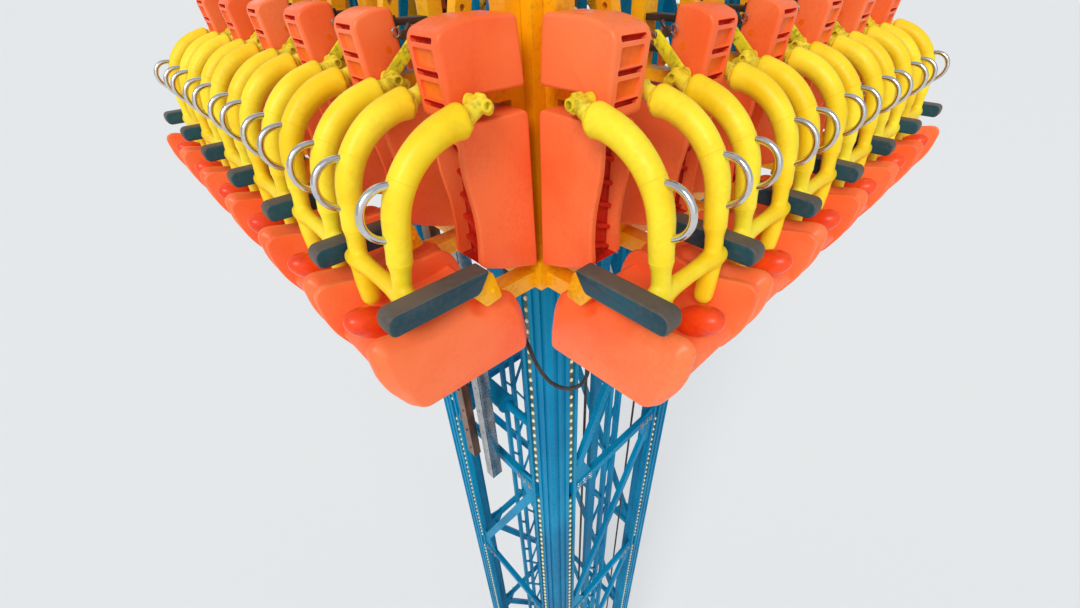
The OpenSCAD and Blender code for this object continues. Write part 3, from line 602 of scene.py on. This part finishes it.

# Lower seat backs: pillowed sides, waisted front, a sunk ribbed panel between them, its inside painted a
# darker red as shade
backSet = {"half": 0.085, "edge": 0.010, "wall": 0.024, "pocketV": (1.545, 1.75), "pocketZ": (-0.055, 0.405),
           "pocketEdge": 0.014, "shadedV": (1.5, 1.60), "shadedZ": (-0.06, 0.41),
           "ribs": 5, "ribPitch": 0.085, "ribV": (1.540, 1.578), "ribZ": (-0.010, 0.006), "ribLap": 0.004,
           "ribEdge": 0.005, "ribTurn": 24, "ribAxis": 1.55,
           "outline": [(1.346, -0.150, 0.022), (1.500, -0.100, 0.030), (1.618, -0.044, 0.030),
                       (1.600, 0.110, 0.090), (1.640, 0.330, 0.060), (1.628, 0.462, 0.024),
                       (1.356, 0.466, 0.022)]}


def seatBack():
    body = roundedSlab(backSet["outline"], -backSet["half"], backSet["half"], backSet["edge"])
    inside = backSet["half"] - backSet["wall"]
    (v0, v1), (z0, z1) = backSet["pocketV"], backSet["pocketZ"]
    bm = cutBm(body, [boxBm((-inside, v0, z0), (inside, v1, z1), backSet["pocketEdge"], 3)])
    # the pocket's inside gets the dark red of painted shade
    (v0, v1), (z0, z1) = backSet["shadedV"], backSet["shadedZ"]
    setFinish(bm, 1, lambda c, n: abs(c.x) < inside + 0.001 and v0 < -c.y < v1 and z0 < c.z < z1)
    parts = [bm]
    half = inside + backSet["ribLap"]
    for i in range(backSet["ribs"]):
        z = backSet["ribPitch"] * i
        low, high = ((way * half, v, z + dz) for way, v, dz in zip((-1, 1), backSet["ribV"], backSet["ribZ"]))
        rib = boxBm(low, high, backSet["ribEdge"])
        turnBm(rib, seatPoint(0, backSet["ribAxis"], z), radians(backSet["ribTurn"]), "Y")
        # ribs in the pocket also get the dark red of painted shade
        parts.append(paintAll(rib, 1))
    return joinBms(*parts)


def addBacks():
    piece = finishPiece("backShells", spreadBm(seatBack(), allSeats), ["coralShell", "coralRecessShade"], "carriage",
                        34)
    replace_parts(piece, "seat_backs")
    print("seat backs made")


addBacks()

# Seat pans: two cheeks that slope inwards at the top, a dished base with a rolled lip and a pommel
panSet = {"half": 0.244, "cheek": 0.060, "slope": 0.034, "footSlope": 0.008, "footZ": -0.27, "edge": 0.007,
          "baseIn": 0.02,
          "pommel": (0, 2.022, -0.105), "pommelRadii": (0.056, 0.054, 0.094), "pommelLean": 60,
          "cheekOutline": [(1.552, -0.170, 0.040), (1.522, -0.372, 0.060), (2.034, -0.359, 0.046),
                           (2.114, -0.196, 0.060), (2.126, -0.013, 0.066), (1.930, -0.058, 0.050),
                           (1.860, -0.053, 0.025), (1.771, -0.034, 0.022), (1.724, -0.080, 0.016),
                           (1.598, -0.078, 0.045)],
          "baseOutline": [(1.600, -0.213, 0.008), (1.600, -0.146, 0.018), (1.660, -0.166, 0.040),
                          (1.975, -0.157, 0.060), (2.062, -0.190, 0.045), (2.080, -0.250, 0.012),
                          (2.048, -0.256, 0.008), (2.028, -0.211, 0.015)]}


def seatCheek():
    # side cheek whose upper outer edge slopes inwards, with softened creases
    half, slope = panSet["half"], panSet["slope"]
    bm = roundedSlab(panSet["cheekOutline"], half - panSet["cheek"], half - slope, 0)
    outer = [f for f in bm.faces if f.calc_center_median().x > half - slope - tiny]
    bmesh.ops.inset_region(bm, faces=outer, thickness=slope, depth=slope, use_even_offset=True)
    foot = [v for v in bm.verts if v.co.x > half - tiny and v.co.z < panSet["footZ"]]
    bmesh.ops.translate(bm, vec=(0, 0, panSet["footSlope"] - slope), verts=foot)
    softenRims(bm, panSet["edge"], 3)
    return bm


def seatPan():
    cheek, mirrored = seatCheek(), bmesh.new()
    addCopies(mirrored, cheek, [Matrix.Diagonal((-1, 1, 1, 1))])
    bmesh.ops.reverse_faces(mirrored, faces=mirrored.faces[:])
    wide = panSet["half"] - panSet["baseIn"]
    base = roundedSlab(panSet["baseOutline"], -wide, wide, 0)
    lean = Matrix.Rotation(radians(panSet["pommelLean"]), 4, "X")
    pommel = ballBm(Matrix.Translation(seatPoint(*panSet["pommel"])) @ lean
                    @ Matrix.Diagonal((*panSet["pommelRadii"], 1)), 24, 16)
    return joinBms(cheek, mirrored, base, paintAll(pommel, 1))


def addPans():
    pan = seatPan()
    for side, name in enumerate(sideNames):
        whole = bmesh.new()
        addCopies(whole, pan, [seatPlace(side, u) for u in seatMiddles])
        piece = finishPiece("panShells" + name.capitalize(), whole, ["coralShell", "pommelRed"], "carriage",
                            40)
        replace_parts(piece, "seat_pans_" + name)
    pan.free()
    print("seat pans made")


addPans()

# Armrests: foam bars with a slanted rear end, dark top and sides painted blue-grey as a sky reflection, on
# amber plate brackets
armSet = {"half": 0.037, "edge": 0.010, "reflectSideTurn": 0.75, "plate": 0.020, "plateEdge": 0.003,
          "bolt": (1.706, 0.000), "boltHalf": 0.026, "boltRadius": 0.009, "boltEdge": 0.002,
          "outline": [(1.764, 0.018, 0.014), (2.070, 0.018, 0.026), (2.070, 0.093, 0.032),
                      (1.714, 0.093, 0.022)],
          "bracket": [(1.670, -0.043, 0.012), (1.735, -0.055, 0.012), (1.790, 0.020, 0.010),
                      (1.900, 0.018, 0.008), (1.900, 0.036, 0.008), (1.735, 0.070, 0.010),
                      (1.700, 0.066, 0.010)]}


def addArmrests():
    bm = roundedSlab(armSet["outline"], -armSet["half"], armSet["half"], armSet["edge"], 5)
    # faces turned to the side get the painted sky reflection
    setFinish(bm, 1, lambda c, n: abs(n.x) > armSet["reflectSideTurn"])
    piece = finishPiece("armrestPads", spreadBm(bm, armSpots), ["armFoam", "armSkyReflection"], "carriage", 60)
    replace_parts(piece, "armrests")
    start, end = (seatPoint(way * armSet["boltHalf"], *armSet["bolt"]) for way in (-1, 1))
    bm = joinBms(roundedSlab(armSet["bracket"], -armSet["plate"], armSet["plate"], armSet["plateEdge"], 2),
                 rodBm(start, end, armSet["boltRadius"], 8, armSet["boltEdge"]))
    piece = finishPiece("armBrackets", spreadBm(bm, armSpots), "amberPaint", "carriage", 34)
    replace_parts(piece, "armrest_brackets")
    print("armrests made")


addArmrests()

# Restraint foam: two legs over the shoulders, bent at the top, and a bone shaped lap bar
holdSet = {"shaft": (1.530, 0.502), "hub": (1.592, 0.534), "legU": 0.150, "bend": (1.650, 0.228),
           "bendR": 0.275, "bendFrom": 88, "bendTo": 8, "bendParts": 24, "rimAt": 0.35,
           "sides": 20, "voxel": 0.009, "calm": 3,
           "legStops": (0.04, 0.08, 0.106, 0.111, 0.14, 0.18), "lapDown": 0.223,
           "stubEnd": (0.128, 1.958, -0.096), "stubParts": 4, "stub": 0.034,
           "thick": [(0, 0.050), (0.006, 0.053), (0.05, 0.047), (0.20, 0.043), (0.403, 0.040),
                     (0.509, 0.038), (0.514, 0.031), (0.60, 0.031), (0.66, 0.036), (0.80, 0.034)],
           "lap": [(-0.200, 0.028), (-0.194, 0.034), (-0.165, 0.037), (-0.125, 0.036), (-0.080, 0.031),
                   (0, 0.029), (0.080, 0.031), (0.125, 0.036), (0.165, 0.037), (0.194, 0.034),
                   (0.200, 0.028)]}
seamSet = {"at": 16, "down": 0.109, "lowRadius": 0.0375, "sunk": 0.0008, "thick": 0.0016, "parts": 28,
           "sides": 6}


def thickAt(reach):
    # radius of the foam at a length along the leg
    knots = holdSet["thick"]
    for (s0, r0), (s1, r1) in zip(knots, knots[1:]):
        if reach <= s1:
            return r0 + (r1 - r0) * (reach - s0) / (s1 - s0)
    return knots[-1][1]


def bendPoint(u, angle):
    (v, z), radius, turn = holdSet["bend"], holdSet["bendR"], radians(angle)
    return seatPoint(u, v + radius * cos(turn), z + radius * sin(turn))


def legPoint(u, down):
    # point of the straight leg below the bend
    low = radians(holdSet["bendTo"])
    return bendPoint(u, holdSet["bendTo"]) + down * Vector((0, -sin(low), -cos(low)))


def legPath(way):
    u, parts = way * holdSet["legU"], holdSet["bendParts"]
    turn = (holdSet["bendFrom"] - holdSet["bendTo"]) / parts
    path = [bendPoint(u, holdSet["bendFrom"] - turn * k) for k in range(parts + 1)]
    path.insert(1, path[0].lerp(path[1], holdSet["rimAt"]))
    path += [legPoint(u, down) for down in (*holdSet["legStops"], holdSet["lapDown"])]
    endU, endV, endZ = holdSet["stubEnd"]
    knee, end, steps = path[-1], seatPoint(way * endU, endV, endZ), holdSet["stubParts"]
    return path + [knee.lerp(end, k / steps) for k in range(1, steps + 1)]


def restraintFoam():
    parts, sides = [], holdSet["sides"]
    for way in (-1, 1):
        path = legPath(way)
        reach, radii = 0, [thickAt(0)]
        for before, after in zip(path, path[1:]):
            reach += (after - before).length
            radii.append(thickAt(reach))
        parts.append(sweepBm(path, radii, sides))
        parts.append(ballBm(Matrix.Translation(path[-1]), sides, 12, holdSet["stub"]))
    middle = legPoint(0, holdSet["lapDown"])
    line = [middle + Vector((u, 0, 0)) for u, _ in holdSet["lap"]]
    parts.append(sweepBm(line, [radius for _, radius in holdSet["lap"]], sides))
    return meltBm(joinBms(*parts), holdSet["voxel"], holdSet["calm"])


def circlePoints(centre, across, upright, radius, parts):
    # points on a circle about the centre, in the plane of the two unit vectors
    angles = [2 * pi * k / parts for k in range(parts)]
    return [centre + radius * (cos(a) * across + sin(a) * upright) for a in angles]


def seamRings():
    # thin raised seams round each leg: in the bend, and above the lap piece
    seams = []
    turned = (holdSet["bendFrom"] - holdSet["bendTo"]) / holdSet["bendParts"] * seamSet["at"]
    angle, along = holdSet["bendFrom"] - turned, holdSet["bendR"] * radians(turned)
    for way in (-1, 1):
        u = way * holdSet["legU"]
        high, low = bendPoint(u, angle), legPoint(u, seamSet["down"])
        spots = [(high, bendPoint(u, angle - 1) - high, thickAt(along)),
                 (low, legPoint(u, holdSet["lapDown"]) - low, seamSet["lowRadius"])]
        for centre, ahead, radius in spots:
            turn = ahead.to_track_quat("Z", "Y").to_matrix()
            ring = circlePoints(centre, turn.col[0], turn.col[1], radius - seamSet["sunk"], seamSet["parts"])
            seams.append(tubeBm(ring, seamSet["thick"], seamSet["sides"], closed=True))
    return joinBms(*seams)


# Restraint castings: a span is the two distances from the seat's middle and the radius
castSet = {"cup": (0.156, 0.181, 0.0185), "hollow": (0.164, 0.190, 0.0115), "hub": (0.119, 0.163, 0.023),
           "lobe": (0.123, 0.158, 0.011), "lobeOut": 0.018, "lobeAngles": (20, 110, 200, 290),
           "neckEnd": (1.670, 0.500), "neck": (0.022, 0.032), "collar": ((1.648, 0.503), (1.660, 0.503)),
           "collarRadius": 0.038, "crank": (0.088, 0.100), "crankEnds": (0.020, 0.021),
           "spindle": (0.086, 0.121, 0.015), "shaft": (-0.098, 0.098, 0.016)}
leverSet = {"end": (1.468, 0.640), "plate": (0.106, 0.117), "plateEnds": (0.022, 0.022),
            "bolts": [((1.462, 0.648), (0.100, 0.123, 0.0085)), ((1.458, 0.626), (0.100, 0.123, 0.0075))],
            "washer": (0.116, 0.1195, 0.0125), "knuckle": (0.087, 0.107, 0.017),
            "knuckleAt": (1.500, 0.658), "pinU": 0.096, "pinEnd": (1.470, 0.690), "pin": 0.008,
            "ringAt": (1.526, 0.668), "ring": 0.014, "ringParts": 16, "wire": 0.0032}
hoopSet = {"low": (1.936, 0.234), "top": (1.907, 0.385), "out": 0.016, "wire": 0.0115, "step": 9,
           "stem": (0.030, 0.010), "socket": (-0.006, 0.011), "socketRadius": 0.0155}
linkEdge = 0.0015


def crossRod(way, span, spot, sides=24, edge=0.003):
    # rod along the row, its two ends at distances from the seat's middle
    low, high, radius = span
    return rodBm(seatPoint(way * low, *spot), seatPoint(way * high, *spot), radius, sides, edge)


def linkPlate(way, start, end, span, narrow, wide):
    # flat plate between two points (v, z) with rounded ends that reach past both
    first, last = Vector(start), Vector(end)
    along = (last - first).normalized()
    over = Vector((-along.y, along.x))
    spots = [(first - along * narrow + over * side * narrow, narrow) for side in (-1, 1)]
    spots += [(last + along * wide + over * side * wide, wide) for side in (1, -1)]
    corners = [(p.x, p.y, reach * 0.8) for p, reach in spots]
    return roundedSlab(corners, way * span[0], way * span[1], linkEdge, 2)


def hingeCasting():
    # lobed hub with a hollow outer end, the neck into the foam, and the crank on the shaft
    hub, out = holdSet["hub"], castSet["lobeOut"]
    parts = []
    for way in (-1, 1):
        u = way * holdSet["legU"]
        casting = [cutBm(crossRod(way, castSet["cup"], hub, 24, 0.002),
                         [crossRod(way, castSet["hollow"], hub, 20, 0)]), crossRod(way, castSet["hub"], hub)]
        for angle in castSet["lobeAngles"]:
            spot = (hub[0] + out * cos(radians(angle)), hub[1] + out * sin(radians(angle)))
            casting.append(crossRod(way, castSet["lobe"], spot, 12))
        thin, thick = castSet["neck"]
        casting.append(rodBm(seatPoint(u, *hub), seatPoint(u, *castSet["neckEnd"]), thin, 24, 0, thick))
        start, end = (seatPoint(u, *spot) for spot in castSet["collar"])
        casting.append(rodBm(start, end, castSet["collarRadius"], 28, 0.003))
        casting.append(linkPlate(way, holdSet["shaft"], hub, castSet["crank"], *castSet["crankEnds"]))
        casting.append(crossRod(way, castSet["spindle"], hub, 20, 0.002))
        parts.append(joinBms(*casting))
    parts.append(paintAll(crossRod(1, castSet["shaft"], holdSet["shaft"]), 4))
    return joinBms(*parts)


def lockLever(way):
    # flat lever up and back from the hub, two bolts in its end and a dark knuckle with a ring behind it
    plate = linkPlate(way, holdSet["hub"], leverSet["end"], leverSet["plate"], *leverSet["plateEnds"])
    washer = crossRod(way, leverSet["washer"], leverSet["bolts"][0][0], 16, 0.001)
    bolts = [crossRod(way, span, spot, 6, 0.001) for spot, span in leverSet["bolts"]]
    u = way * leverSet["pinU"]
    pin = rodBm(seatPoint(u, *leverSet["knuckleAt"]), seatPoint(u, *leverSet["pinEnd"]), leverSet["pin"],
                14, 0.002)
    knuckle = joinBms(crossRod(way, leverSet["knuckle"], leverSet["knuckleAt"], 18, 0.004), pin)
    ring = circlePoints(seatPoint(u, *leverSet["ringAt"]), Vector((0, 0, 1)), Vector((0, -1, 0)),
                        leverSet["ring"], leverSet["ringParts"])
    return joinBms(paintAll(plate, 2), paintAll(joinBms(washer, *bolts), 3), paintAll(knuckle, 4),
                   paintAll(tubeBm(ring, leverSet["wire"], 8, closed=True), 3))


def handHoops():
    # half round steel hoops in front of the legs, their ends in short sockets
    top, low = Vector(hoopSet["top"]), Vector(hoopSet["low"])
    up = (top - low).normalized()
    out = Vector((up.y, -up.x))
    radius = (top - low).length / 2
    middle = (top + low) / 2 + out * hoopSet["out"]
    turns = [radians(a) for a in range(0, 181, hoopSet["step"])]
    arc = [middle + radius * (up * cos(turn) + out * sin(turn)) for turn in turns]
    far, near = hoopSet["stem"]
    flat = [top - out * far, top - out * near] + arc + [low - out * near, low - out * far]
    parts = []
    for u in (-holdSet["legU"], holdSet["legU"]):
        parts.append(tubeBm([seatPoint(u, *spot) for spot in flat], hoopSet["wire"], 14))
        for end in (top, low):
            start, stop = (seatPoint(u, *(end + out * reach)) for reach in hoopSet["socket"])
            parts.append(rodBm(start, stop, hoopSet["socketRadius"], 18, 0.003))
    return paintAll(joinBms(*parts), 1)


def addRestraints():
    soft = joinBms(restraintFoam(), seamRings())
    hard = joinBms(hingeCasting(), handHoops())
    levers = {way: lockLever(way) for way in (-1, 1)}
    print("one restraint: foam", len(soft.faces), "faces, metal", len(hard.faces))
    for side, name in enumerate(sideNames):
        for i, u in enumerate(seatMiddles):
            body = "restraint_%s_%d" % (name, i + 1)
            tag = name.capitalize() + str(i + 1)
            place = [seatPlace(side, u)]
            pad, metal = bmesh.new(), bmesh.new()
            addCopies(pad, soft, place)
            addCopies(metal, hard, place)
            for way, inside in ((-1, i > 0), (1, i < seatsPerSide - 1)):
                if inside:
                    addCopies(metal, levers[way], place)
            padPiece = finishPiece("foam" + tag, pad, "yellowFoam", body, 80)
            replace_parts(padPiece, body)
            finishPiece("castings" + tag, metal,
                        ["yellowCast", "polishedSteel", "leverYellow", "bareSteel", "darkSteel"],
                        body, 40)
    for bm in (soft, hard, *levers.values()):
        bm.free()
    print("restraints made")


addRestraints()

# Lamps in the tower's channels
towerSet = {"half": 0.915, "column": 0.195, "channel": 0.062, "flange": 0.034, "base": 0.25, "bay": 3.0,
            "bays": 10}
lampSet = {"pitch": 0.095, "radius": 0.019, "sides": 8, "rings": 4, "cut": 0.004, "gap": 0.12,
           "back": 0.018, "stripHalf": 0.028, "stripV": (-0.008, 0.002)}


def addLamps():
    lamp = ballBm(Matrix(), lampSet["sides"], lampSet["rings"], lampSet["radius"])
    bmesh.ops.bisect_plane(lamp, geom=lamp.verts[:] + lamp.edges[:] + lamp.faces[:],
                           plane_co=(0, lampSet["cut"], 0), plane_no=(0, 1, 0), clear_outer=True)
    bmesh.ops.holes_fill(lamp, edges=[e for e in lamp.edges if e.is_boundary], sides=0)
    middle = towerSet["half"] - towerSet["column"] - towerSet["channel"] / 2
    face, gap = towerSet["half"] - lampSet["back"], lampSet["gap"]
    count = int((towerSet["bay"] - 2 * gap) / lampSet["pitch"])
    feet = [seatPlace(side, 0, towerSet["base"] + bay * towerSet["bay"] + gap)
            @ Matrix.Translation(seatPoint(way * middle, face, 0))
            for side in range(4) for way in (-1, 1) for bay in range(towerSet["bays"])]
    places = [foot @ Matrix.Translation((0, 0, (k + 0.5) * lampSet["pitch"])) for foot in feet
              for k in range(count)]
    finishPiece("channelLamps", spreadBm(lamp, places), "lampCream", "tower", 60)
    half, (back, front) = lampSet["stripHalf"], lampSet["stripV"]
    strip = boxBm((-half, back, 0), (half, front, count * lampSet["pitch"]))
    finishPiece("lampStrips", spreadBm(strip, feet), "channelGrey", "tower", 30)
    print("lamps set:", len(places))


addLamps()

# Hexagon heads on discs, on the gussets and splice plates of the lattice
boltSet = {"head": (0.016, 0.015, 6), "disc": (0.004, 0.023, 12), "back": 0.012, "down": 0.045,
           "columns": (0.05, 0.13, 0.21), "rows": (-0.02, 0.022)}


def addTowerBolts():
    bolt = joinBms(*[rodBm(seatPoint(0, 0, 0), seatPoint(0, high, 0), radius, sides)
                     for high, radius, sides in (boltSet["head"], boltSet["disc"])])
    half = towerSet["half"] - towerSet["column"] - towerSet["channel"] - towerSet["flange"]
    face = towerSet["half"] - boltSet["back"]
    spots = [(way * (half - column), row) for way in (-1, 1) for column in boltSet["columns"]
             for row in boltSet["rows"]]
    levels = [towerSet["base"] + (bay + 1) * towerSet["bay"] - boltSet["down"]
              for bay in range(towerSet["bays"])]
    places = [seatPlace(side, 0, 0) @ Matrix.Translation(seatPoint(u, face, z + row))
              for side in range(4) for z in levels for u, row in spots]
    finishPiece("latticeBolts", spreadBm(bolt, places), "bareSteel", "tower", 30)
    print("tower bolts:", len(places))


addTowerBolts()

# Brake fin and guide bar on the left and right sides: channels that hang from the lower ring
barSet = {"u": 0.155, "front": 1.075, "wall": 0.012, "top": -0.150, "edge": 0.002,
          "bolts": 11, "margin": 0.10, "bolt": (-0.002, 0.008), "boltRadius": 0.010,
          "fin": (0.055, 0.080, -3.26), "guide": (0.049, 0.114, -3.31)}


def channelBar(half, deep, low):
    # channel open towards the tower, with a row of bolts down its face
    front, wall, top = barSet["front"], barSet["wall"], barSet["top"]
    parts = [boxBm((-half, front - wall, low), (half, front, top), barSet["edge"])]
    for way in (-1, 1):
        middle = way * (half - wall / 2)
        parts.append(boxBm((middle - wall / 2, front - deep, low),
                           (middle + wall / 2, front - wall / 2, top), barSet["edge"]))
    step = (top - low - 2 * barSet["margin"]) / (barSet["bolts"] - 1)
    for k in range(barSet["bolts"]):
        z = low + barSet["margin"] + k * step
        back, out = (seatPoint(0, front + reach, z) for reach in barSet["bolt"])
        parts.append(rodBm(back, out, barSet["boltRadius"], 6, 0.001))
    return joinBms(*parts)


def addBars():
    for name, node, way, shape, finish in (("finBars", "brake_fins", -1, "fin", "copperFin"),
                                           ("guideBars", "guide_bars", 1, "guide", "bareSteel")):
        places = [seatPlace(side, way * barSet["u"]) for side in (1, 3)]
        bars = spreadBm(channelBar(*barSet[shape]), places)
        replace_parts(finishPiece(name, bars, finish, "carriage", 34), node)
    print("fins and guide bars made")


addBars()

# Paint of the solids that stay
nodeFinish = {"towerPaint": ["base_frame", "columns", "lattice_front", "lattice_left", "lattice_back",
                             "lattice_right", "lift_mast", "strut_tubes", "head_frame"],
              "darkSteel": ["lift_ropes", "cable_ladder"], "bareSteel": ["head_sheaves", "sheave_shafts"],
              "amberPaint": ["ring_lower", "ring_upper", "corner_posts", "stanchions", "seat_arms",
                             "lock_arms", "fin_hangers", "wheel_brackets"],
              "blackRubber": ["guide_wheels"]}
for label, names in nodeFinish.items():
    for name in names:
        mesh = nodes[name].data
        mesh.materials.clear()
        mesh.materials.append(material[label])
print("solids painted")

# Floor, sky and suns; a sun has a name, bearing, tilt, strength and spread, the angles in degrees
stageSet = {"floor": 2500, "floorColor": (0.80, 0.80, 0.79, 1), "floorRough": 0.9,
            "sky": (0.86, 0.90, 0.95, 1), "skyStrength": 0.62,
            "suns": [("keyLight", -62, 50, 1.65, 25), ("fillLight", -35, 66, 0.45, 60),
                     ("backLight", 150, 60, 0.3, 60)]}


def addStage():
    bm = bmesh.new()
    bmesh.ops.create_grid(bm, x_segments=1, y_segments=1, size=stageSet["floor"])
    floor = scratchObject("floor", bm)
    paint = bpy.data.materials.new("floorPaint")
    paint.use_nodes = True
    shader = paint.node_tree.nodes["Principled BSDF"]
    shader.inputs["Base Color"].default_value = stageSet["floorColor"]
    shader.inputs["Roughness"].default_value = stageSet["floorRough"]
    floor.data.materials.append(paint)
    world = bpy.data.worlds.new("studio")
    view.world = world
    world.use_nodes = True
    back = world.node_tree.nodes["Background"]
    back.inputs["Color"].default_value = stageSet["sky"]
    back.inputs["Strength"].default_value = stageSet["skyStrength"]
    for name, bearing, tilt, strength, spread in stageSet["suns"]:
        data = bpy.data.lights.new(name, "SUN")
        data.energy, data.angle = strength, radians(spread)
        lamp = bpy.data.objects.new(name, data)
        lamp.rotation_euler = (radians(tilt), 0, radians(bearing))
        view.collection.objects.link(lamp)
    print("stage set")


addStage()
